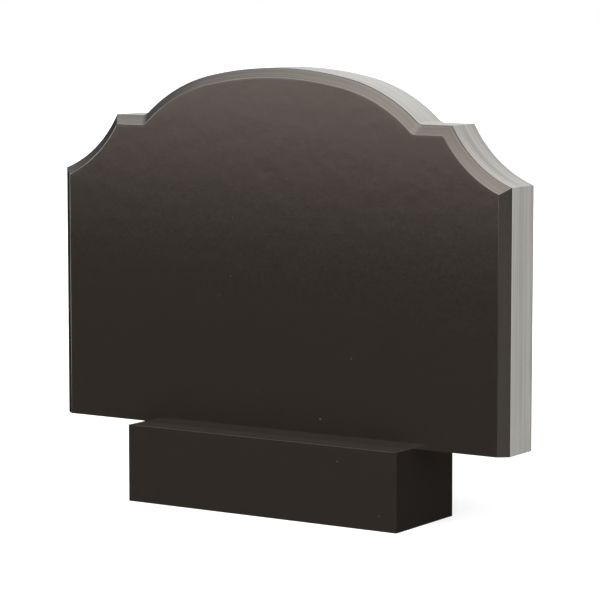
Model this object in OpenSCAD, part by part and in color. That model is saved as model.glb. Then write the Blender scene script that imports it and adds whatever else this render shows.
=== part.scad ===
// Headstone: a polished tablet of dark granite that stands on a low block plinth.
// The tablet has a three-centre arch between two flat shoulders, a hollow cove below
// each shoulder, and a broad chamfer round its front that stops at the bottom edge.
// It rests on the plinth by its own weight.
// Millimetres. +Z is up and the polished front faces -Y. The origin is the centre of
// the plinth's underside.

/* [Tablet] */
// Width across the two straight sides
tablet_w = 1000; // [880:10:1400]
// Height from the bed to the top of the arch
tablet_h = 693; // [400:1:1200]
// Thickness from the front to the back
tablet_t = 98; // [50:1:150]

/* [Arch] */
// Height of the top of the arch above the shoulders
arch_rise = 97; // [60:1:150]
// Radius of the flatter crown, in the middle of the arch
crown_r = 725; // [600:1:1200]
// Radius of the tighter haunches, at the two ends of the arch
haunch_r = 315; // [250:1:380]
// How far the centre of each haunch stands out from the centre line
haunch_out = 90; // [40:1:110]

/* [Coves] */
// Width of each cove, from the straight side in to the shoulder
cove_w = 124; // [60:1:180]
// Height of each cove, from the straight side up to the shoulder
cove_h = 108; // [60:1:180]
// Radius of the hollow of each cove
cove_r = 232; // [130:1:600]

/* [Chamfer] */
// Width of the front chamfer, seen square to the face
chamfer_w = 18; // [4:1:28]
// Depth of the front chamfer, into the thickness
chamfer_d = 15; // [4:1:30]

/* [Plinth] */
// Width of the plinth
plinth_w = 605; // [300:5:1000]
// Depth of the plinth, from front to back
plinth_d = 206; // [160:1:400]
// Height of the plinth
plinth_h = 150; // [60:5:300]
// How far the plinth stands out in front of the tablet
plinth_front = 54; // [10:1:100]
// Width of the flat eased on to the plinth's upright and top edges
plinth_arris = 1; // [0.5:0.5:8]

/* [Hidden] */

STONE = "#332e2a";
// How far a cutting shape runs past the stone that it cuts
OVER = 1;
$fn = 180;

// The tablet's front, and the levels of its outline above its bed
front_y = plinth_front - plinth_d / 2;
shoulder_h = tablet_h - arch_rise;
side_h = shoulder_h - cove_h;

// Centres of the crown and of the right haunch, as [x, z]. The two arcs run into each
// other smoothly where the line through both centres meets them.
haunch_up = sqrt(pow(crown_r - haunch_r, 2) - pow(haunch_out, 2));
crown_at = [0, tablet_h - crown_r];
haunch_at = crown_at + [haunch_out, haunch_up];

// Centre of the right cove, square to the chord from its foot to its head
cove_foot = [tablet_w / 2, side_h];
cove_head = [tablet_w / 2 - cove_w, shoulder_h];
cove_chord = norm(cove_head - cove_foot);
cove_out = [cove_h, cove_w] / cove_chord;
cove_reach = sqrt(pow(cove_r, 2) - pow(cove_chord / 2, 2));
cove_at = (cove_foot + cove_head) / 2 + cove_reach * cove_out;

// The arch is cut off inside the body, this far up and clear of the shoulder's chamfer
arch_foot = shoulder_h - 2 * chamfer_w;
arch_top = tablet_h + OVER;

// The point at height z on the line where the crown meets the right haunch
function joint_at(z) = [(z - crown_at[1]) * haunch_out / haunch_up, z];

// The same point on the left
function left_joint_at(z) = [-joint_at(z)[0], z];

// Draws the right-hand shape and its mirror image on the left
module both_sides() {
    children();
    mirror([1, 0, 0]) children();
}

// Lays a shape that was made along +Z along +Y, with its axis at the given [x, z]
module along_depth(at = [0, 0]) {
    translate([at[0], 0, at[1]]) rotate([90, 0, 0]) mirror([0, 0, 1]) children();
}

// Extrudes an outline in y and z over a width that is centred on the centre line
module across_width(width) {
    translate([-width / 2, 0, 0]) rotate([90, 0, 90]) linear_extrude(width) children();
}

// A disc as thick as the tablet that carries a round stretch of its edge and chamfer
module edge_disc(radius, at) {
    along_depth(at)
        rotate_extrude()
            polygon([
                [0, 0],
                [radius - chamfer_w, 0],
                [radius, chamfer_d],
                [radius, tablet_t],
                [0, tablet_t]
            ]);
}

// The flatter middle of the arch, between its two joint lines
module crown() {
    intersection() {
        edge_disc(crown_r, crown_at);
        along_depth()
            linear_extrude(tablet_t)
                polygon([
                    left_joint_at(arch_foot),
                    joint_at(arch_foot),
                    joint_at(arch_top),
                    left_joint_at(arch_top)
                ]);
    }
}

// The tighter right-hand end of the arch, outside its joint line
module haunch() {
    outer_x = haunch_at[0] + haunch_r;
    intersection() {
        edge_disc(haunch_r, haunch_at);
        along_depth()
            linear_extrude(tablet_t)
                polygon([
                    joint_at(arch_foot),
                    [outer_x, arch_foot],
                    [outer_x, arch_top],
                    joint_at(arch_top)
                ]);
    }
}

// The body up to the shoulders, chamfered down its two sides and along its top
module body() {
    half = tablet_w / 2;
    intersection() {
        linear_extrude(shoulder_h)
            polygon([
                [-half, tablet_t],
                [-half, chamfer_d],
                [-half + chamfer_w, 0],
                [half - chamfer_w, 0],
                [half, chamfer_d],
                [half, tablet_t]
            ]);
        across_width(tablet_w)
            polygon([
                [0, 0],
                [tablet_t, 0],
                [tablet_t, shoulder_h],
                [chamfer_d, shoulder_h],
                [0, shoulder_h - chamfer_w]
            ]);
    }
}

// The hollow of the right cove, which the chamfer opens out towards the front
module cove_hollow() {
    flare = chamfer_w * (1 + OVER / chamfer_d);
    along_depth(cove_at)
        rotate_extrude()
            polygon([
                [0, -OVER],
                [cove_r + flare, -OVER],
                [cove_r, chamfer_d],
                [cove_r, tablet_t + OVER],
                [0, tablet_t + OVER]
            ]);
}

// A rectangle centred on the origin, with a small flat across each corner
module eased_plan(width, depth, flat) {
    x = width / 2;
    y = depth / 2;
    polygon([
        [-x + flat, -y], [x - flat, -y],
        [x, -y + flat], [x, y - flat],
        [x - flat, y], [-x + flat, y],
        [-x, y - flat], [-x, -y + flat]
    ]);
}

// An upright rectangle on the ground, with a small flat across its two top corners
module eased_elevation(width, height, flat) {
    x = width / 2;
    polygon([
        [-x, 0], [x, 0],
        [x, height - flat], [x - flat, height],
        [-x + flat, height], [-x, height - flat]
    ]);
}

module tablet() {
    color(STONE)
        translate([0, front_y, plinth_h])
            union() {
                difference() {
                    body();
                    both_sides() cove_hollow();
                }
                crown();
                both_sides() haunch();
            }
}

module plinth() {
    color(STONE)
        intersection() {
            linear_extrude(plinth_h)
                eased_plan(plinth_w, plinth_d, plinth_arris);
            translate([0, -plinth_d / 2, 0])
                along_depth()
                    linear_extrude(plinth_d)
                        eased_elevation(plinth_w, plinth_h, plinth_arris);
            across_width(plinth_w)
                eased_elevation(plinth_d, plinth_h, plinth_arris);
        }
}

tablet();
plinth();
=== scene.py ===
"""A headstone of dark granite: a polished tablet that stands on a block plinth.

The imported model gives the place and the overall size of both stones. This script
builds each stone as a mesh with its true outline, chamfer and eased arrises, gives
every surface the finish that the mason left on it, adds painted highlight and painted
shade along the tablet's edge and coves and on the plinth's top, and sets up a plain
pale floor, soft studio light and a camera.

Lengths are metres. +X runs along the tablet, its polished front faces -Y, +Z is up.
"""

import logging
import math
from dataclasses import dataclass, replace
from enum import IntEnum
from typing import Callable, Sequence

import bmesh
import bpy
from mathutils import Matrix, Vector


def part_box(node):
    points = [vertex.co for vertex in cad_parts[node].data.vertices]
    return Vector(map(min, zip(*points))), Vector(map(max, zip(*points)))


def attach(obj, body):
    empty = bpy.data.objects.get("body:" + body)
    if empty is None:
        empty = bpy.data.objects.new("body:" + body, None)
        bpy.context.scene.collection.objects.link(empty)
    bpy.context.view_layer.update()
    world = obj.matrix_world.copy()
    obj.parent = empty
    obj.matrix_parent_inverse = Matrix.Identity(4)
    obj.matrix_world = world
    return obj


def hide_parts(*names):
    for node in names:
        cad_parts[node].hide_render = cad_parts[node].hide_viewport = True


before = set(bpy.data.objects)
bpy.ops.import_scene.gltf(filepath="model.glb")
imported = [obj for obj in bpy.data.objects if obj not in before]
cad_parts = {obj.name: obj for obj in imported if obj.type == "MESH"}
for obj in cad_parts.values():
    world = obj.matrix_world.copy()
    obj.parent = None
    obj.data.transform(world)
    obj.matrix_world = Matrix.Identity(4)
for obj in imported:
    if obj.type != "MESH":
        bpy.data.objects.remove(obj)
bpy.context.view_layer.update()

log = logging.getLogger("headstone")

MM = 0.001
# Two faces have an arris between them where they turn by more than this many degrees
SHARP_FROM = 25.0
Point = tuple[float, float]
Triple = tuple[float, float, float]
Colour = Triple
Material = bpy.types.Material
Node = bpy.types.Node
NodeTree = bpy.types.NodeTree
Socket = bpy.types.NodeSocket
Vertex = bmesh.types.BMVert


class Surface(IntEnum):
    """The surfaces of a stone that take a finish of their own.

    The value is the index of the surface's material slot.
    """

    FACE = 0
    CHAMFER = 1
    EDGE = 2
    COVE = 3
    BACK = 4
    BED = 5
    TOP = 6


# ---------------------------------------------------------------- shader graphs


class Graph:
    """A node tree that is built up by short calls."""

    def __init__(self, tree: NodeTree) -> None:
        """Starts from an empty tree.

        Args:
            tree: the node tree of a material, a world or a group.
        """
        self.tree = tree
        tree.nodes.clear()

    def add(self, kind: str, **settings: object) -> Node:
        """Adds a node.

        Args:
            kind: the node's type, without its ShaderNode prefix.
            **settings: attributes to set on the node.

        Returns:
            The new node.
        """
        node = self.tree.nodes.new("ShaderNode" + kind)
        for name, value in settings.items():
            setattr(node, name, value)
        return node

    def feed(self, node: Node, **inputs: object) -> Node:
        """Sets or links a node's inputs, which are named with _ for a space.

        Args:
            node: the node to feed.
            **inputs: a value or an output socket for each input.

        Returns:
            The same node.
        """
        for name, value in inputs.items():
            self.plug(node.inputs[name.replace("_", " ")], value)
        return node

    def plug(self, socket: Socket, value: object) -> None:
        """Links an output socket to an input, or sets the input's own value.

        Args:
            socket: the input.
            value: the output socket to link, or the value to set.
        """
        if isinstance(value, Socket):
            self.tree.links.new(value, socket)
        else:
            socket.default_value = value

    def maths(self, operation: str, *values: object) -> Socket:
        """Adds a Math node.

        Args:
            operation: the node's operation.
            *values: a number or an output socket for each operand.

        Returns:
            The node's output.
        """
        node = self.add("Math", operation=operation)
        for socket, value in zip(node.inputs, values):
            self.plug(socket, value)
        return node.outputs[0]

    def vector(self, operation: str, *values: object) -> Node:
        """Adds a Vector Math node and returns it.

        Args:
            operation: the node's operation.
            *values: a vector or an output socket for each operand.

        Returns:
            The node, because what it gives is its first or its second output.
        """
        node = self.add("VectorMath", operation=operation)
        for socket, value in zip(node.inputs, values):
            self.plug(socket, value)
        return node

    def remap(
        self, value: object, low: float, high: float, to_low: float, to_high: float
    ) -> Socket:
        """Carries a value smoothly from one range to another, and clamps it there.

        Args:
            value: the number or output socket to carry over.
            low: where the first range starts.
            high: where it ends.
            to_low: what low becomes.
            to_high: what high becomes.

        Returns:
            The remapped value's output.
        """
        node = self.add("MapRange", interpolation_type="SMOOTHSTEP")
        self.feed(node, Value=value, From_Min=low, From_Max=high)
        self.feed(node, To_Min=to_low, To_Max=to_high)
        return node.outputs["Result"]

    def blend(self, share: object, first: object, second: object) -> Socket:
        """Mixes two colours by a share of the second.

        Args:
            share: how much of the second colour shows, from 0 to 1.
            first: a colour or an output socket.
            second: a colour or an output socket.

        Returns:
            The mixed colour's output.
        """
        node = self.add("Mix", data_type="RGBA")
        factor, _, _, _, _, _, a, b = node.inputs[:8]
        self.plug(factor, share)
        self.plug(a, (*first, 1.0) if isinstance(first, tuple) else first)
        self.plug(b, (*second, 1.0) if isinstance(second, tuple) else second)
        return node.outputs["Result"]

    def group(self, tree: NodeTree, **inputs: object) -> Node:
        """Places a node group with values of its own.

        Args:
            tree: the group's tree.
            **inputs: a value or an output socket for each of the group's inputs.

        Returns:
            The group's node.
        """
        node = self.add("Group", node_tree=tree)
        return self.feed(node, **inputs)


def new_group(
    name: str, inputs: dict[str, str], outputs: dict[str, str]
) -> tuple[NodeTree, Graph, Node, Node]:
    """Makes an empty shader node group with named sockets.

    Args:
        name: the group's name.
        inputs: the type of each input socket, by name.
        outputs: the type of each output socket, by name.

    Returns:
        The group's tree, a graph on it, its input node and its output node.
    """
    tree = bpy.data.node_groups.new(name, "ShaderNodeTree")
    for way, sockets in (("INPUT", inputs), ("OUTPUT", outputs)):
        for label, kind in sockets.items():
            tree.interface.new_socket(label, in_out=way, socket_type="NodeSocket" + kind)
    graph = Graph(tree)
    ends = (tree.nodes.new("NodeGroupInput"), tree.nodes.new("NodeGroupOutput"))
    return tree, graph, *ends


# The granite's pattern. Waves, swells and fleck cells are counted to the metre.
GRAIN_WAVES = 240.0
GRAIN_WAVE_REACH = 1.5 * MM
BROAD_SWELLS = 26.0
CLOSE_SWELLS = 95.0
BROAD_SWELL_WEIGHT = 4.0
FLECK_CELLS = 21.0
FLECK_CORE = 0.6
FAINTEST_FLECK = 0.25

# The tracks. A swing is the part of the noise that is stretched from 0 to 1.
TRACK_SWING = (0.3, 0.7)
SCARS_PER_TRACK = 0.16
SCAR_WIDTH = 0.035
SCAR_PATCHES = 6.0
SCAR_PATCH_SWING = (0.35, 0.6)
FAINTEST_SCAR = 0.2

# The share of a painted rim's reach over which it keeps its full strength
PAINTED_RIM_CORE = 0.4


class StoneEffects:
    """The node groups that the finishes share, each built once."""

    def __init__(self) -> None:
        """Builds the groups."""
        self.grain = self._build_grain()
        self.tracks = self._build_tracks()
        self.painted_rim = self._build_painted_rim()

    @staticmethod
    def _build_grain() -> NodeTree:
        """Builds the granite's own pattern.

        Returns:
            A group that takes Crystals, how many grains there are to the metre, and
            Fleck Size, the radius of the largest fleck. It gives Crystal, which changes
            from grain to grain, Swell, the slight waves of a surface that was polished
            by hand, and Fleck, a mask of rare pale grains.
        """
        tree, g, start, end = new_group(
            "granite_grain",
            {"Crystals": "Float", "Fleck Size": "Float"},
            {"Crystal": "Float", "Swell": "Float", "Fleck": "Float"},
        )
        place = g.add("TexCoord").outputs["Object"]
        warp = g.add("TexNoise", noise_dimensions="3D")
        g.feed(warp, Vector=place, Scale=GRAIN_WAVES, Detail=2.0)
        push = g.vector("SCALE", warp.outputs["Color"])
        push.inputs["Scale"].default_value = GRAIN_WAVE_REACH
        warped = g.vector("ADD", place, push.outputs[0]).outputs[0]

        cells = g.add("TexVoronoi", feature="F1")
        g.feed(cells, Vector=warped, Scale=start.outputs["Crystals"])
        tint = g.add("SeparateColor")
        g.feed(tint, Color=cells.outputs["Color"])
        g.plug(end.inputs["Crystal"], tint.outputs["Red"])

        broad = g.add("TexNoise", noise_dimensions="3D")
        g.feed(broad, Vector=place, Scale=BROAD_SWELLS, Detail=1.0)
        close = g.add("TexNoise", noise_dimensions="3D")
        g.feed(close, Vector=place, Scale=CLOSE_SWELLS, Detail=1.0)
        swell = g.maths(
            "MULTIPLY_ADD", broad.outputs["Fac"], BROAD_SWELL_WEIGHT, close.outputs["Fac"]
        )
        g.plug(end.inputs["Swell"], swell)

        spots = g.add("TexVoronoi", feature="F1")
        g.feed(spots, Vector=warped, Scale=FLECK_CELLS)
        reach = g.maths("MULTIPLY", start.outputs["Fleck Size"], FLECK_CELLS)
        shade = g.add("SeparateColor")
        g.feed(shade, Color=spots.outputs["Color"])
        own_reach = g.maths("MULTIPLY", reach, shade.outputs["Green"])
        ratio = g.maths("DIVIDE", spots.outputs["Distance"], own_reach)
        mask = g.remap(ratio, FLECK_CORE, 1.0, 1.0, 0.0)
        paleness = g.remap(shade.outputs["Blue"], 0.0, 1.0, FAINTEST_FLECK, 1.0)
        g.plug(end.inputs["Fleck"], g.maths("MULTIPLY", mask, paleness))
        return tree

    @staticmethod
    def _build_tracks() -> NodeTree:
        """Builds the parallel tracks that a grinding wheel or a saw leaves.

        Returns:
            A group that takes Pitch, how many tracks there are to the metre along each
            axis. It gives Track, which swings between the furrows and the ridges, and
            Scar, a mask of thin lines that run with the tracks a few widths apart.
        """
        tree, g, start, end = new_group(
            "wheel_tracks", {"Pitch": "Vector"}, {"Track": "Float", "Scar": "Float"}
        )
        place = g.add("TexCoord").outputs["Object"]
        stretched = g.vector("MULTIPLY", place, start.outputs["Pitch"]).outputs[0]
        fine = g.add("TexNoise", noise_dimensions="3D")
        g.feed(fine, Vector=stretched, Scale=1.0, Detail=3.0, Roughness=0.55)
        track = g.remap(fine.outputs["Fac"], *TRACK_SWING, 0.0, 1.0)
        g.plug(end.inputs["Track"], track)

        wide = g.vector("SCALE", stretched)
        wide.inputs["Scale"].default_value = SCARS_PER_TRACK
        broad = g.add("TexNoise", noise_dimensions="3D")
        g.feed(broad, Vector=wide.outputs[0], Scale=1.0, Detail=2.0)
        swing = g.maths("SUBTRACT", broad.outputs["Fac"], 0.5)
        line = g.remap(g.maths("ABSOLUTE", swing), 0.0, SCAR_WIDTH, 1.0, 0.0)
        patch = g.add("TexNoise", noise_dimensions="3D")
        g.feed(patch, Vector=place, Scale=SCAR_PATCHES, Detail=1.0)
        held = g.remap(patch.outputs["Fac"], *SCAR_PATCH_SWING, FAINTEST_SCAR, 1.0)
        g.plug(end.inputs["Scar"], g.maths("MULTIPLY", line, held))
        return tree

    @staticmethod
    def _build_painted_rim() -> NodeTree:
        """Builds the mask of a band of painted highlight and shade along an arris at one
        depth.

        Returns:
            A group that takes Depth, where the arris lies along y, and Reach, how wide
            the band is. It gives Near, which falls from 1 on the arris to 0.
        """
        tree, g, start, end = new_group(
            "painted_arris_rim", {"Depth": "Float", "Reach": "Float"}, {"Near": "Float"}
        )
        split = g.add("SeparateXYZ")
        g.feed(split, Vector=g.add("TexCoord").outputs["Object"])
        gap = g.maths("SUBTRACT", split.outputs["Y"], start.outputs["Depth"])
        ratio = g.maths("DIVIDE", g.maths("ABSOLUTE", gap), start.outputs["Reach"])
        g.plug(end.inputs["Near"], g.remap(ratio, PAINTED_RIM_CORE, 1.0, 1.0, 0.0))
        return tree


# --------------------------------------------------------------------- finishes


def new_material(name: str) -> tuple[Material, Graph]:
    """Makes a material without nodes.

    Args:
        name: the material's name.

    Returns:
        The material and a graph on its tree.
    """
    made = bpy.data.materials.new(name)
    made.use_nodes = True
    return made, Graph(made.node_tree)


def end_finish(
    g: Graph, colour: Socket, roughness: Socket, height: Socket, depth: float, ior: float
) -> Node:
    """Ends a stone's finish with its relief, its shader and the material's output.

    Args:
        g: the graph of the finish.
        colour: the stone's colour.
        roughness: its roughness.
        height: its relief, counted in depths.
        depth: how deep one unit of the relief is.
        ior: its index of refraction.

    Returns:
        The shader's node.
    """
    relief = g.add("Bump")
    g.feed(relief, Height=height, Distance=depth, Strength=1.0)
    shader = g.add("BsdfPrincipled")
    g.feed(shader, Base_Color=colour, Roughness=roughness, Normal=relief.outputs[0])
    shader.inputs["IOR"].default_value = ior
    g.feed(g.add("OutputMaterial"), Surface=shader.outputs[0])
    return shader


@dataclass(frozen=True)
class PaintedRim:
    """A band of painted highlight or painted shade along an arris, laid over a finish's
    colour.

    Depth is where the arris lies along y, reach is how wide the band is, and share is
    how much of its colour shows on the arris, from 0 to 1.
    """

    depth: float
    reach: float
    share: float
    colour: Colour

    def over(self, g: Graph, effects: StoneEffects, colour: Socket) -> Socket:
        """Lays the band over a colour.

        Args:
            g: the graph of the finish.
            effects: the shared node groups.
            colour: the colour that the band lies on.

        Returns:
            The colour with the band on it.
        """
        near = g.group(effects.painted_rim, Depth=self.depth, Reach=self.reach).outputs["Near"]
        return g.blend(g.maths("MULTIPLY", near, self.share), colour, self.colour)


@dataclass(frozen=True)
class Polished:
    """Granite that is polished to a gloss, so dark that its reflections show most.

    Grains and tracks are counted to the metre, the tracks along each axis. Gloss is the
    roughness of the darkest grains and dulling what the palest ones add to it. Streaks
    is how much the wheel's tracks still show in the colour, or 0 for none.
    """

    name: str
    dark: Colour = (0.0114, 0.0092, 0.0078)
    light: Colour = (0.0142, 0.0116, 0.0098)
    fleck: Colour = (0.046, 0.040, 0.034)
    crystals: float = 420.0
    fleck_size: float = 2.5 * MM
    gloss: float = 0.05
    dulling: float = 0.04
    ripple: float = 0.018 * MM
    streaks: float = 0.0
    streak_depth: float = 0.16 * MM
    streak_dulling: float = 0.05
    streak_pitch: Triple = (3.0, 330.0, 3.0)
    ior: float = 1.70
    tint: Colour = (1.0, 0.84, 0.75)
    painted_rims: tuple[PaintedRim, ...] = ()

    def material(self, effects: StoneEffects) -> Material:
        """Makes the material.

        Args:
            effects: the shared node groups.

        Returns:
            The new material.
        """
        made, g = new_material(self.name)
        grain = g.group(
            effects.grain, Crystals=self.crystals, Fleck_Size=self.fleck_size
        ).outputs
        body = g.blend(grain["Crystal"], self.dark, self.light)
        colour = g.blend(grain["Fleck"], body, self.fleck)
        dulled = g.maths("MULTIPLY_ADD", grain["Crystal"], self.dulling, self.gloss)
        height = grain["Swell"]
        if self.streaks:
            tracks = g.group(effects.tracks, Pitch=self.streak_pitch).outputs
            share = g.maths("MULTIPLY", tracks["Track"], self.streaks)
            colour = g.blend(share, colour, self.fleck)
            dulled = g.maths("MULTIPLY_ADD", tracks["Track"], self.streak_dulling, dulled)
            deeper = self.streak_depth / self.ripple
            height = g.maths("MULTIPLY_ADD", tracks["Track"], deeper, height)
        for painted_rim in self.painted_rims:
            colour = painted_rim.over(g, effects, colour)
        shader = end_finish(g, colour, dulled, height, self.ripple, self.ior)
        shader.inputs["Specular Tint"].default_value = (*self.tint, 1.0)
        return made


@dataclass(frozen=True)
class Ground:
    """Granite left from the wheel or the saw, matt and pale with parallel tracks.

    Grains and tracks are counted to the metre, the tracks along each axis. A share is
    how much of a colour shows in its places, from 0 to 1. Rough is the roughness in the
    furrows, and rough_spread how much smoother the ridges are.
    """

    name: str
    furrow: Colour
    ridge: Colour
    pitch: Triple
    scar: Colour = (0.13, 0.125, 0.115)
    scar_share: float = 0.65
    speckle: Colour = (0.42, 0.40, 0.37)
    speckle_share: float = 0.10
    crystals: float = 420.0
    rough: float = 0.42
    rough_spread: float = 0.10
    depth: float = 0.03 * MM
    ior: float = 1.5
    painted_rims: tuple[PaintedRim, ...] = ()

    def material(self, effects: StoneEffects) -> Material:
        """Makes the material.

        Args:
            effects: the shared node groups.

        Returns:
            The new material.
        """
        made, g = new_material(self.name)
        grain = g.group(effects.grain, Crystals=self.crystals).outputs
        tracks = g.group(effects.tracks, Pitch=self.pitch).outputs
        body = g.blend(tracks["Track"], self.furrow, self.ridge)
        share = g.maths("MULTIPLY", grain["Crystal"], self.speckle_share)
        speckled = g.blend(share, body, self.speckle)
        scarred = g.maths("MULTIPLY", tracks["Scar"], self.scar_share)
        colour = g.blend(scarred, speckled, self.scar)
        for painted_rim in self.painted_rims:
            colour = painted_rim.over(g, effects, colour)
        rough = g.maths("MULTIPLY_ADD", tracks["Track"], -self.rough_spread, self.rough)
        height = g.maths("SUBTRACT", tracks["Track"], tracks["Scar"])
        end_finish(g, colour, rough, height, self.depth, self.ior)
        return made


SAWN_BACK = Ground(
    "tablet_back",
    furrow=(0.143, 0.139, 0.132),
    ridge=(0.157, 0.153, 0.145),
    pitch=(1.2, 40.0, 150.0),
    scar=(0.118, 0.114, 0.108),
    speckle_share=0.22,
    crystals=260.0,
)
SAWN_BED = Ground(
    "tablet_bed",
    furrow=(0.11, 0.107, 0.10),
    ridge=(0.15, 0.146, 0.138),
    pitch=(2.5, 170.0, 40.0),
)


# ------------------------------------------------------------------ stone meshes


class StoneMesh:
    """A closed stone, built from rings of vertices and four-sided patches."""

    def __init__(self) -> None:
        """Starts an empty mesh."""
        self.bm = bmesh.new()

    def ring(self, points: Sequence[Vector]) -> list[Vertex]:
        """Adds a vertex at each point and returns them in order."""
        return [self.bm.verts.new(point) for point in points]

    def quad(self, corners: Sequence[Vertex], surface: Surface) -> None:
        """Adds one face.

        Args:
            corners: its vertices in order.
            surface: which finish it takes.
        """
        face = self.bm.faces.new(corners)
        face.material_index = int(surface)
        face.smooth = True

    def bridge(
        self,
        first: Sequence[Vertex],
        second: Sequence[Vertex],
        surface_at: Callable[[int], Surface],
    ) -> None:
        """Joins two closed rings of the same length with a band of quads.

        Args:
            first: one ring's vertices.
            second: the other ring's vertices.
            surface_at: gives the finish of the band's quad after each vertex.
        """
        count = len(first)
        for i in range(count):
            j = (i + 1) % count
            self.quad((first[i], first[j], second[j], second[i]), surface_at(i))

    def patch(
        self,
        bottom: Sequence[Vertex],
        top: Sequence[Vertex],
        left: Sequence[Vertex],
        right: Sequence[Vertex],
        surface: Surface,
    ) -> None:
        """Fills a four-sided opening with a grid that follows all four sides.

        Args:
            bottom: the vertices along the bottom, from left to right.
            top: as many along the top, from left to right.
            left: the vertices up the left side.
            right: as many up the right side.
            surface: which finish the patch takes.
        """
        across, up = len(bottom) - 1, len(left) - 1
        grid = [list(bottom)]
        for row in range(1, up):
            v = row / up
            line = [left[row]]
            for column in range(1, across):
                u = column / across
                edges = (
                    bottom[column].co * (1 - v) + top[column].co * v
                    + left[row].co * (1 - u) + right[row].co * u
                )
                corners = (
                    (bottom[0].co * (1 - u) + bottom[-1].co * u) * (1 - v)
                    + (top[0].co * (1 - u) + top[-1].co * u) * v
                )
                line.append(self.bm.verts.new(edges - corners))
            grid.append([*line, right[row]])
        grid.append(list(top))
        for low, high in zip(grid, grid[1:]):
            for i in range(across):
                self.quad((low[i], low[i + 1], high[i + 1], high[i]), surface)

    def finish(
        self, name: str, materials: Sequence[Material], arris: float = 0.0
    ) -> bpy.types.Object:
        """Makes the object, with flat faces that stay flat beside rounded arrises.

        Args:
            name: the piece's name.
            materials: one material for each surface, in the order of Surface.
            arris: how far every arris is eased, or 0 where the mesh has them already.

        Returns:
            The finished object.
        """
        bmesh.ops.recalc_face_normals(self.bm, faces=self.bm.faces)
        mesh = bpy.data.meshes.new(name)
        self.bm.to_mesh(mesh)
        self.bm.free()
        mesh.set_sharp_from_angle(angle=math.radians(SHARP_FROM))
        for material in materials:
            mesh.materials.append(material)
        stone = bpy.data.objects.new(name, mesh)
        bpy.context.scene.collection.objects.link(stone)

        if arris:
            easing = stone.modifiers.new("eased_arrises", "BEVEL")
            easing.width = arris
            easing.segments = 3
            easing.limit_method = "ANGLE"
            easing.angle_limit = math.radians(SHARP_FROM)
        shading = stone.modifiers.new("flat_faces", "WEIGHTED_NORMAL")
        shading.keep_sharp = not arris
        bpy.context.view_layer.update()
        graph = bpy.context.evaluated_depsgraph_get()
        eased = bpy.data.meshes.new_from_object(stone.evaluated_get(graph))
        stone.modifiers.clear()
        stone.data = eased
        bpy.data.meshes.remove(mesh)
        eased.name = name
        return stone


def spaced(start: float, end: float, count: int) -> list[float]:
    """Gives count + 1 evenly spaced numbers from start to end, both included."""
    return [start + (end - start) * i / count for i in range(count + 1)]


def eased_corner(
    before: Point, corner: Point, after: Point, radius: float, steps: int
) -> list[Point]:
    """Rounds a corner of a polyline.

    Args:
        before: a point on the line that leads to the corner.
        corner: the corner.
        after: a point on the line that leaves it.
        radius: the radius of the rounding.
        steps: how many chords the arc is drawn in.

    Returns:
        The points of the arc, with both of its ends.
    """
    at = Vector(corner)
    back = (Vector(before) - at).normalized()
    ahead = (Vector(after) - at).normalized()
    half_angle = back.angle(ahead) / 2
    middle = at + (back + ahead).normalized() * radius / math.sin(half_angle)
    first = at + back * radius / math.tan(half_angle) - middle
    last = at + ahead * radius / math.tan(half_angle) - middle
    turn = first.angle(last)
    arc = []
    for angle in spaced(0.0, turn, steps):
        spoke = (first * math.sin(turn - angle) + last * math.sin(angle)) / math.sin(turn)
        arc.append(tuple(middle + spoke))
    return arc


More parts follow.
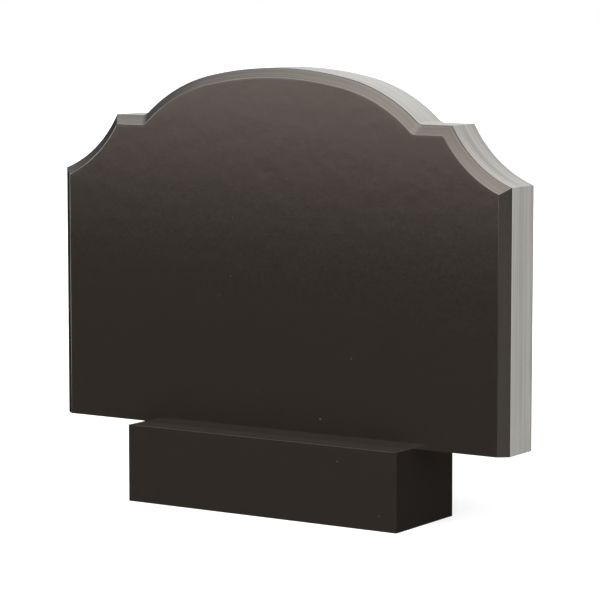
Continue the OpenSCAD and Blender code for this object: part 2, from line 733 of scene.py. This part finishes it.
@dataclass(frozen=True)
class Outline:
    """The tablet's outline, drawn in x and z above its bed and alike on both sides.

    From the bed up, the right half is a straight side, a hollow cove, a flat shoulder,
    a small hollow at the root of the arch, a tight haunch and half of the flatter crown.
    """

    width: float
    height: float
    arch_rise: float = 97 * MM
    crown_r: float = 725 * MM
    haunch_r: float = 315 * MM
    haunch_out: float = 90 * MM
    cove_w: float = 124 * MM
    cove_h: float = 108 * MM
    cove_r: float = 232 * MM
    root_r: float = 20 * MM
    side_steps: int = 18
    cove_steps: int = 22
    shoulder_steps: int = 4
    root_steps: int = 6
    haunch_steps: int = 18
    crown_steps: int = 16

    @property
    def shoulder_z(self) -> float:
        """The height of the flat shoulders."""
        return self.height - self.arch_rise

    @property
    def crown_at(self) -> Point:
        """The centre of the crown's arc."""
        return 0.0, self.height - self.crown_r

    @property
    def haunch_at(self) -> Point:
        """The centre of the right haunch's arc, which meets the crown's smoothly."""
        up = math.sqrt((self.crown_r - self.haunch_r) ** 2 - self.haunch_out**2)
        return self.haunch_out, self.crown_at[1] + up

    @property
    def cove_at(self) -> Point:
        """Finds the centre of the right cove's arc, square to the chord of the cove.

        Returns:
            The centre, in x and z.
        """
        chord = math.hypot(self.cove_w, self.cove_h)
        reach = math.sqrt(self.cove_r**2 - (chord / 2) ** 2)
        middle_x = self.width / 2 - self.cove_w / 2
        middle_z = self.shoulder_z - self.cove_h / 2
        return (
            middle_x + reach * self.cove_h / chord,
            middle_z + reach * self.cove_w / chord,
        )

    def right_half(self, inset: float) -> dict[str, list[Point]]:
        """Draws the right half, moved inwards by the same distance all along.

        Neighbouring stretches share their corner, which slides along the mitre as the
        inset grows. The bed stays where it is.

        Args:
            inset: how far the outline is moved inwards.

        Returns:
            The points of each stretch, by its name, from the bed up to the crown.
        """
        side_x = self.width / 2 - inset
        top_z = self.shoulder_z - inset
        cove_x, cove_z = self.cove_at
        cove_r = self.cove_r + inset
        foot_z = cove_z - math.sqrt(cove_r**2 - (cove_x - side_x) ** 2)
        head_x = cove_x - math.sqrt(cove_r**2 - (cove_z - top_z) ** 2)
        haunch_x, haunch_z = self.haunch_at
        haunch_r = self.haunch_r - inset
        root_z = top_z + self.root_r
        root_out = math.sqrt((haunch_r + self.root_r) ** 2 - (root_z - haunch_z) ** 2)
        root_x = haunch_x + root_out
        crown_r = self.crown_r - inset
        slope = math.asin(self.haunch_out / (self.crown_r - self.haunch_r))

        foot_turn = math.atan2(foot_z - cove_z, side_x - cove_x)
        head_turn = math.atan2(top_z - cove_z, head_x - cove_x)
        spring_turn = math.atan2(root_out, root_z - haunch_z)
        return {
            "side": [(side_x, z) for z in spaced(0.0, foot_z, self.side_steps)],
            "cove": [
                (cove_x + cove_r * math.cos(a), cove_z + cove_r * math.sin(a))
                for a in spaced(foot_turn, head_turn, self.cove_steps)
            ],
            "shoulder": [
                (x, top_z) for x in spaced(head_x, root_x, self.shoulder_steps)
            ],
            "root": [
                (root_x - self.root_r * math.sin(a), root_z - self.root_r * math.cos(a))
                for a in spaced(0.0, spring_turn, self.root_steps)
            ],
            "haunch": [
                (haunch_x + haunch_r * math.sin(a), haunch_z + haunch_r * math.cos(a))
                for a in spaced(spring_turn, slope, self.haunch_steps)
            ],
            "crown": [
                (crown_r * math.sin(a), self.crown_at[1] + crown_r * math.cos(a))
                for a in spaced(slope, 0.0, self.crown_steps)
            ],
        }


@dataclass
class Ring:
    """One turn of vertices round the tablet, split where its outline has corners.

    Each half holds its stretches by name, from the bed up. The bed runs from left to
    right, and the whole from the right foot over the crown and back along the bed.
    """

    right: dict[str, list[Vertex]]
    left: dict[str, list[Vertex]]
    bed: list[Vertex]
    whole: list[Vertex]


@dataclass
class Tablet:
    """The upright stone: outline, front chamfer and thickness."""

    node: str = "tablet"
    piece: str = "tablet_stone"
    chamfer_w: float = 18 * MM
    chamfer_d: float = 15 * MM
    front_arris: float = 2.8 * MM
    outer_arris: float = 2.4 * MM
    rear_arris: float = 1.0 * MM
    arris_steps: int = 4
    chamfer_steps: int = 3
    edge_steps: int = 8

    def __post_init__(self) -> None:
        """Reads the stone's place and overall size from the frame."""
        self.low, self.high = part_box(self.node)
        self.thickness = self.high.y - self.low.y
        self.outline = Outline(self.high.x - self.low.x, self.high.z - self.low.z)
        self.middle_steps = 2 * self.outline.crown_steps

    def _stations(self) -> list[tuple[Point, Surface]]:
        """Lists the rings from front to back.

        Returns:
            Each ring's inset and depth, and the finish of the band that leads to it.
        """
        inside = (2 * self.chamfer_w, 0.0)
        inner = (self.chamfer_w, 0.0)
        outer = (0.0, self.chamfer_d)
        rear = (0.0, self.thickness)
        behind = (self.chamfer_w, self.thickness)
        front_arc = eased_corner(inside, inner, outer, self.front_arris, self.arris_steps)
        outer_arc = eased_corner(inner, outer, rear, self.outer_arris, self.arris_steps)
        rear_arc = eased_corner(outer, rear, behind, self.rear_arris, self.arris_steps)

        def between(start: Point, end: Point, steps: int) -> list[Point]:
            """Gives the points that divide a straight run, without its ends."""
            share = spaced(0.0, 1.0, steps)[1:-1]
            return [tuple(Vector(start).lerp(Vector(end), t)) for t in share]

        chamfer = between(front_arc[-1], outer_arc[0], self.chamfer_steps)
        edge = between(outer_arc[-1], rear_arc[0], self.edge_steps)
        polished = [*front_arc, *chamfer, *outer_arc]
        ground = [*edge, *rear_arc]
        return [(point, Surface.CHAMFER) for point in polished] + [
            (point, Surface.EDGE) for point in ground
        ]

    def dress(self, effects: StoneEffects) -> list[Material]:
        """Makes the tablet's materials.

        Args:
            effects: the shared node groups.

        Returns:
            One material for each surface from the face to the bed, in the order of
            Surface. The tablet has no top apart from its edge.
        """
        # Painted highlight: the edge is paler along its front arris. Painted shade: the
        # edge and the coves are darker along the rear arris.
        front_painted_shading = PaintedRim(self.low.y + self.chamfer_d, 9 * MM, 0.5, (0.31, 0.305, 0.29))
        rear_painted_shading = PaintedRim(self.high.y, 6 * MM, 0.7, (0.16, 0.155, 0.145))
        finishes = (
            Polished("tablet_face"),
            Polished(
                "tablet_chamfer",
                dark=(0.0045, 0.0037, 0.0031),
                light=(0.0075, 0.0062, 0.0053),
                ripple=0.010 * MM,
                streaks=0.06,
                tint=(1.0, 0.89, 0.80),
            ),
            Ground(
                "tablet_edge_painted_shading",
                furrow=(0.205, 0.200, 0.187),
                ridge=(0.268, 0.262, 0.246),
                pitch=(3.0, 260.0, 3.0),
                painted_rims=(front_painted_shading, rear_painted_shading),
            ),
            # The coves' stronger tracks and scars are the stone's own; their tone, darker
            # than the edge's, is painted shade that tones down the light falling on them
            # from above.
            Ground(
                "tablet_cove_painted_shade",
                furrow=(0.152, 0.144, 0.132),
                ridge=(0.239, 0.227, 0.210),
                pitch=(3.0, 260.0, 3.0),
                scar=(0.105, 0.100, 0.092),
                scar_share=0.9,
                depth=0.05 * MM,
                painted_rims=(rear_painted_shading,),
            ),
            SAWN_BACK,
            SAWN_BED,
        )
        return [finish.material(effects) for finish in finishes]

    def _ring(self, stone: StoneMesh, inset: float, depth: float) -> Ring:
        """Adds one ring of vertices.

        Args:
            stone: the mesh to add to.
            inset: how far the ring lies inside the outline.
            depth: how far it lies behind the front.

        Returns:
            The ring, with its stretches by name on each side.
        """
        half = self.outline.right_half(inset)
        base = Vector((0.0, self.low.y + depth, self.low.z))
        sides = {}
        for sign in (1, -1):
            stretches, line = {}, []
            for name, points in half.items():
                fresh = points[1:] if line else points
                placed = [base + Vector((sign * x, 0.0, z)) for x, z in fresh]
                line = [*line[-1:], *stone.ring(placed)]
                stretches[name] = line
            sides[sign] = stretches
        right, left = sides[1], sides[-1]
        stone.bm.verts.remove(left["crown"][-1])
        left["crown"][-1] = right["crown"][-1]

        half_bed = half["side"][0][0]
        beside = self.outline.shoulder_steps + self.outline.root_steps
        across = spaced(-half_bed, half_bed, self.middle_steps + 2 * beside)
        inner = [base + Vector((x, 0.0, 0.0)) for x in across[1:-1]]
        bed = [left["side"][0], *stone.ring(inner), right["side"][0]]
        up = [v for stretch in right.values() for v in stretch[:-1]]
        down = [v for stretch in left.values() for v in stretch[:-1]]
        whole = [*up, right["crown"][-1], *reversed(down), *bed[1:-1]]
        return Ring(right, left, bed, whole)

    def _close(self, stone: StoneMesh, ring: Ring, surface: Surface) -> None:
        """Fills the front or the back, in one patch below the shoulders and one above.

        Args:
            stone: the mesh to add to.
            ring: the ring to fill.
            surface: which finish the face takes.
        """
        right, left = ring.right, ring.left
        spring_l, spring_r = left["haunch"][0], right["haunch"][0]
        level = [
            spring_l.co.lerp(spring_r.co, t)
            for t in spaced(0.0, 1.0, self.middle_steps)[1:-1]
        ]
        middle = [spring_l, *stone.ring(level), spring_r]
        shoulder_line = [
            *left["shoulder"], *left["root"][1:-1],
            *middle,
            *right["root"][-2:0:-1], *reversed(right["shoulder"]),
        ]
        stone.patch(
            ring.bed,
            shoulder_line,
            left["side"] + left["cove"][1:],
            right["side"] + right["cove"][1:],
            surface,
        )
        crown_line = left["crown"] + right["crown"][-2::-1]
        stone.patch(middle, crown_line, left["haunch"], right["haunch"], surface)

    def build(self, effects: StoneEffects) -> bpy.types.Object:
        """Builds the tablet.

        Args:
            effects: the shared node groups.

        Returns:
            The tablet's piece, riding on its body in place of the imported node.
        """
        stone = StoneMesh()
        stations = self._stations()
        rings = [self._ring(stone, inset, depth) for (inset, depth), _ in stations]
        bed_from = len(rings[0].whole) - len(rings[0].bed) + 1
        cove_from = self.outline.side_steps
        coves = range(cove_from, cove_from + self.outline.cove_steps)

        def surface_at(step: int, band: Surface) -> Surface:
            """Chooses the finish of one step round a band.

            Args:
                step: how many vertices the step is from the right foot.
                band: the finish of the band away from the bed and the coves.

            Returns:
                The step's finish.
            """
            if step >= bed_from:
                return Surface.BED
            in_cove = min(step, bed_from - 1 - step) in coves
            return Surface.COVE if in_cove and band is Surface.EDGE else band

        for ring, following, (_, surface) in zip(rings, rings[1:], stations[1:]):
            stone.bridge(
                ring.whole, following.whole, lambda i, band=surface: surface_at(i, band)
            )
        self._close(stone, rings[0], Surface.FACE)
        self._close(stone, rings[-1], Surface.BACK)
        return place(stone.finish(self.piece, self.dress(effects)), self.node)


@dataclass
class Plinth:
    """The low block under the tablet, polished in front, on top and at its ends."""

    node: str = "plinth"
    piece: str = "plinth_stone"
    arris: float = 0.25 * MM
    # The top carries a painted contact shadow round the tablet's foot: its base is darker
    # than the face's, and it pales within this band of the front and rear arrises.
    unshadowed_band: float = 75 * MM
    unshadowed_tone: Colour = (0.020, 0.0166, 0.0142)
    across_steps: int = 24
    deep_steps: int = 8
    high_steps: int = 6

    def __post_init__(self) -> None:
        """Reads the stone's place and size from the frame."""
        self.low, self.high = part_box(self.node)

    def dress(self, effects: StoneEffects) -> list[Material]:
        """Makes the plinth's materials.

        Args:
            effects: the shared node groups.

        Returns:
            One material for each surface, in the order of Surface. The chamfer, the
            edge and the coves aren't on this stone, and the face's stands for them.
        """
        # Painted shadow on the top: the bands along the front and rear arrises take the
        # paler tone, and the darker base shows round the tablet's foot.
        front_painted_shading, rear_painted_shading = (
            PaintedRim(y, self.unshadowed_band, 1.0, self.unshadowed_tone) for y in (self.low.y, self.high.y)
        )
        face = Polished("plinth_polish", gloss=0.07).material(effects)
        top = Polished(
            "plinth_top_painted_shadow",
            dark=(0.0095, 0.0079, 0.0067),
            light=(0.0120, 0.0100, 0.0085),
            gloss=0.03,
            dulling=0.01,
            ripple=0.006 * MM,
            painted_rims=(front_painted_shading, rear_painted_shading),
        ).material(effects)
        back = replace(
            SAWN_BACK,
            name="plinth_back",
            furrow=(0.128, 0.124, 0.118),
            ridge=(0.142, 0.138, 0.131),
            scar=(0.104, 0.100, 0.095),
        ).material(effects)
        bed = replace(SAWN_BED, name="plinth_bed").material(effects)
        return [face, face, face, face, back, bed, top]

    def build(self, effects: StoneEffects) -> bpy.types.Object:
        """Builds the plinth.

        Args:
            effects: the shared node groups.

        Returns:
            The plinth's piece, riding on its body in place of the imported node.
        """
        low, high = self.low, self.high
        stone = StoneMesh()
        across = spaced(low.x, high.x, self.across_steps)
        deep = spaced(low.y, high.y, self.deep_steps)
        plan = (
            [(x, low.y) for x in across[:-1]]
            + [(high.x, y) for y in deep[:-1]]
            + [(x, high.y) for x in across[:0:-1]]
            + [(low.x, y) for y in deep[:0:-1]]
        )
        rings = [
            stone.ring([Vector((x, y, z)) for x, y in plan])
            for z in spaced(low.z, high.z, self.high_steps)
        ]
        back_at = self.across_steps + self.deep_steps
        back = range(back_at, back_at + self.across_steps)
        for ring, following in zip(rings, rings[1:]):
            stone.bridge(
                ring, following, lambda i: Surface.BACK if i in back else Surface.FACE
            )
        for ring, surface in ((rings[0], Surface.BED), (rings[-1], Surface.TOP)):
            self._close(stone, ring, surface)
        stone_piece = stone.finish(self.piece, self.dress(effects), self.arris)
        return place(stone_piece, self.node)

    def _close(self, stone: StoneMesh, ring: Sequence[Vertex], surface: Surface) -> None:
        """Fills the top or the underside.

        Args:
            stone: the mesh to add to.
            ring: the ring to fill, from the front left corner round to it.
            surface: which finish the face takes.
        """
        right_at = self.across_steps
        back_at = right_at + self.deep_steps
        left_at = back_at + self.across_steps
        front = ring[: right_at + 1]
        right = ring[right_at : back_at + 1]
        back = list(reversed(ring[back_at : left_at + 1]))
        left = [ring[0], *reversed(ring[left_at:])]
        stone.patch(front, back, left, right, surface)


def place(piece: bpy.types.Object, node: str) -> bpy.types.Object:
    """Puts a finished piece in the frame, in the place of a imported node.

    Args:
        piece: the piece, already at its place.
        node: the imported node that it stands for.

    Returns:
        The same piece.
    """
    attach(piece, "root")
    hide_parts(node)
    return piece


# ------------------------------------------------------------------------ studio


@dataclass(frozen=True)
class RoundLight:
    """A broad round light, brightest along its axis and fading away from it.

    The two limits are cosines of the angle from the axis, and a limit over 1 keeps the
    light growing right up to its middle.
    """

    axis: Triple
    strength: float
    fades_out: float
    full_at: float = 1.0


@dataclass(frozen=True)
class Panel:
    """An upright panel light with soft edges.

    It is turned from -Y towards +X, in degrees, and so are its half width and the width
    of its soft sides. Its heights are the upward part of the direction towards it: foot
    and head are each the pair of heights between which the light fades in and out. Its
    lean is how far both drop towards its +X side, at a right angle from its middle.
    """

    turn: float
    strength: float
    half_width: float
    soft_width: float
    foot: Point
    head: Point
    lean: float = 0.0


@dataclass(frozen=True)
class Studio:
    """A pale floor, soft light from all round, and the camera.

    Heights are the upward part of a direction, from -1 to 1, and a pair of them is where
    a light fades in. Horizon is how far the lights above and under it run over it. The
    camera is turned from +Y towards -X and drops below the level, both in degrees, and
    its lens and sensor are in millimetres.
    """

    floor_half: float = 40.0
    floor_tone: Colour = (0.60, 0.60, 0.60)
    floor_shade: float = 0.985
    floor_patches: float = 1.5
    floor_glow: float = 0.75
    key: RoundLight = RoundLight((-0.16, -0.92, 0.44), 8.3, 0.18, 1.5)
    key_foot: Point = (0.10, 0.47)
    rear: RoundLight = RoundLight((0.10, 0.93, 0.30), 1.0, 0.45)
    right: RoundLight = RoundLight((0.96, -0.10, 0.25), 1.1, 0.70)
    low: RoundLight = RoundLight((0.777, -0.629, -0.12), 0.60, 0.50)
    front: Panel = Panel(-33.0, 7.3, 24.0, 33.0, (-0.1135, 0.15), (0.0, 0.06), 0.10)
    side: Panel = Panel(-68.0, 6.5, 6.0, 10.0, (-0.17, -0.12), (0.25, 0.42))
    sky: float = 0.50
    sky_between: Point = (-0.02, 0.62)
    horizon: float = 0.035
    below: float = 0.015
    camera_at: Triple = (2.9901, -4.5760, 1.0335)
    camera_turn: float = 32.93
    camera_drop: float = 6.592
    focal_length: float = 173.7
    sensor: float = 36.0
    camera_reach: float = 200.0

    def build(self) -> None:
        """Builds the floor, the light and the camera."""
        self._build_floor()
        self._build_light()
        self._build_camera()

    def _build_floor(self) -> None:
        """Lays the floor, a lit panel that doesn't show in the stones' polish."""
        mesh = bpy.data.meshes.new("floor")
        bm = bmesh.new()
        bmesh.ops.create_grid(bm, x_segments=2, y_segments=2, size=self.floor_half)
        bm.to_mesh(mesh)
        bm.free()
        made, g = new_material("pale_floor")
        drift = g.add("TexNoise")
        place_on = g.add("TexCoord").outputs["Object"]
        g.feed(drift, Vector=place_on, Scale=self.floor_patches)
        darker = tuple(self.floor_shade * c for c in self.floor_tone)
        tone = g.blend(drift.outputs["Fac"], darker, self.floor_tone)
        shader = g.add("BsdfPrincipled")
        g.feed(shader, Base_Color=tone, Emission_Color=tone)
        shader.inputs["Roughness"].default_value = 1.0
        shader.inputs["Specular IOR Level"].default_value = 0.0
        shader.inputs["Emission Strength"].default_value = self.floor_glow
        g.feed(g.add("OutputMaterial"), Surface=shader.outputs[0])
        mesh.materials.append(made)
        floor = bpy.data.objects.new("floor", mesh)
        bpy.context.scene.collection.objects.link(floor)
        floor.visible_glossy = False

    @staticmethod
    def _build_round_light() -> NodeTree:
        """Builds the group that fades a light with the angle from its axis.

        Returns:
            A group that gives Light, how bright the light is in a direction.
        """
        tree, g, start, end = new_group(
            "round_light",
            {"Direction": "Vector", "Axis": "Vector", "Fades Out": "Float",
             "Full At": "Float", "Power": "Float"},
            {"Light": "Float"},
        )
        axis = g.vector("NORMALIZE", start.outputs["Axis"]).outputs[0]
        facing = g.vector("DOT_PRODUCT", start.outputs["Direction"], axis)
        fade = g.add("MapRange", interpolation_type="SMOOTHSTEP")
        g.feed(
            fade,
            Value=facing.outputs["Value"],
            From_Min=start.outputs["Fades Out"],
            From_Max=start.outputs["Full At"],
        )
        light = g.maths("MULTIPLY", fade.outputs["Result"], start.outputs["Power"])
        g.plug(end.inputs["Light"], light)
        return tree

    @staticmethod
    def _place_panel(g: Graph, level: Socket, rise: Socket, panel: Panel) -> Socket:
        """Places a panel light in the world's graph.

        Args:
            g: the world's graph.
            level: the direction that is looked in, laid flat.
            rise: how far that direction points upwards.
            panel: the panel to place.

        Returns:
            How bright the panel is in that direction.
        """
        turn = math.radians(panel.turn)
        facing = g.vector("DOT_PRODUCT", level, (math.sin(turn), -math.cos(turn), 0.0))
        outer = math.cos(math.radians(panel.half_width + panel.soft_width))
        inner = math.cos(math.radians(panel.half_width))
        across = g.remap(facing.outputs["Value"], outer, inner, 0.0, panel.strength)
        aside = g.vector("DOT_PRODUCT", level, (math.cos(turn), math.sin(turn), 0.0))
        height = g.maths("MULTIPLY_ADD", aside.outputs["Value"], panel.lean, rise)
        foot = g.remap(height, *panel.foot, 0.0, 1.0)
        head = g.remap(height, *panel.head, 1.0, 0.0)
        return g.maths("MULTIPLY", g.maths("MULTIPLY", across, foot), head)

    def _build_light(self) -> None:
        """Lights the studio from all round.

        A high key light, a rear and a right-hand light and a faint sky stand above the
        horizon. A low light reaches under it, and two panels cross it.
        """
        world = bpy.data.worlds.new("studio")
        bpy.context.scene.world = world
        world.use_nodes = True
        g = Graph(world.node_tree)
        group = self._build_round_light()
        direction = g.add("TexCoord").outputs["Generated"]
        split = g.add("SeparateXYZ")
        g.feed(split, Vector=direction)
        rise = split.outputs["Z"]
        flat = g.vector("MULTIPLY", direction, (1.0, 1.0, 0.0)).outputs[0]
        level = g.vector("NORMALIZE", flat).outputs[0]

        key, rear, right, low = (
            g.group(
                group,
                Direction=direction,
                Axis=light.axis,
                Fades_Out=light.fades_out,
                Full_At=light.full_at,
                Power=light.strength,
            ).outputs["Light"]
            for light in (self.key, self.rear, self.right, self.low)
        )
        sky = g.remap(rise, *self.sky_between, 0.0, self.sky)
        key = g.maths("MULTIPLY", key, g.remap(rise, *self.key_foot, 0.0, 1.0))
        low = g.maths("ADD", low, self.below)
        fill = g.maths("ADD", g.maths("ADD", rear, right), sky)
        above = g.maths("ADD", key, fill)
        aloft = g.remap(rise, -self.horizon, self.horizon, 0.0, 1.0)
        sunk = g.maths("SUBTRACT", 1.0, aloft)
        round_lights = g.maths(
            "ADD", g.maths("MULTIPLY", above, aloft), g.maths("MULTIPLY", low, sunk)
        )
        panels = g.maths(
            "ADD", *(self._place_panel(g, level, rise, p) for p in (self.front, self.side))
        )
        white = (1.0, 1.0, 1.0, 1.0)
        light = g.add("Background")
        g.feed(light, Color=white, Strength=g.maths("ADD", round_lights, panels))
        backdrop = g.add("Background")
        g.feed(backdrop, Color=white, Strength=1.0)
        seen = g.add("LightPath").outputs["Is Camera Ray"]
        choice = g.add("MixShader")
        shown = (seen, light.outputs[0], backdrop.outputs[0])
        for socket, value in zip(choice.inputs, shown):
            g.plug(socket, value)
        g.feed(g.add("OutputWorld"), Surface=choice.outputs[0])

    def _build_camera(self) -> None:
        """Sets the camera to the right of the stone, looking slightly down on it."""
        data = bpy.data.cameras.new("camera")
        data.lens = self.focal_length
        data.sensor_width = self.sensor
        data.clip_end = self.camera_reach
        camera = bpy.data.objects.new("camera", data)
        camera.location = self.camera_at
        camera.rotation_euler = (
            math.radians(90.0 - self.camera_drop), 0.0, math.radians(self.camera_turn)
        )
        bpy.context.scene.collection.objects.link(camera)
        bpy.context.scene.camera = camera
        bpy.context.scene.view_settings.view_transform = "Standard"


# -------------------------------------------------------------------------- main


def main() -> None:
    """Builds the two stones, then the studio round them."""
    logging.basicConfig(level=logging.INFO, format="%(name)s: %(message)s")
    effects = StoneEffects()
    for stone in (Tablet(), Plinth()):
        piece = stone.build(effects)
        size = " x ".join(f"{side / MM:.0f}" for side in piece.dimensions)
        log.info("%s: %d faces, %s mm", piece.name, len(piece.data.polygons), size)
    Studio().build()
    log.info("studio: floor, light and camera")


if __name__ == "__main__":
    main()
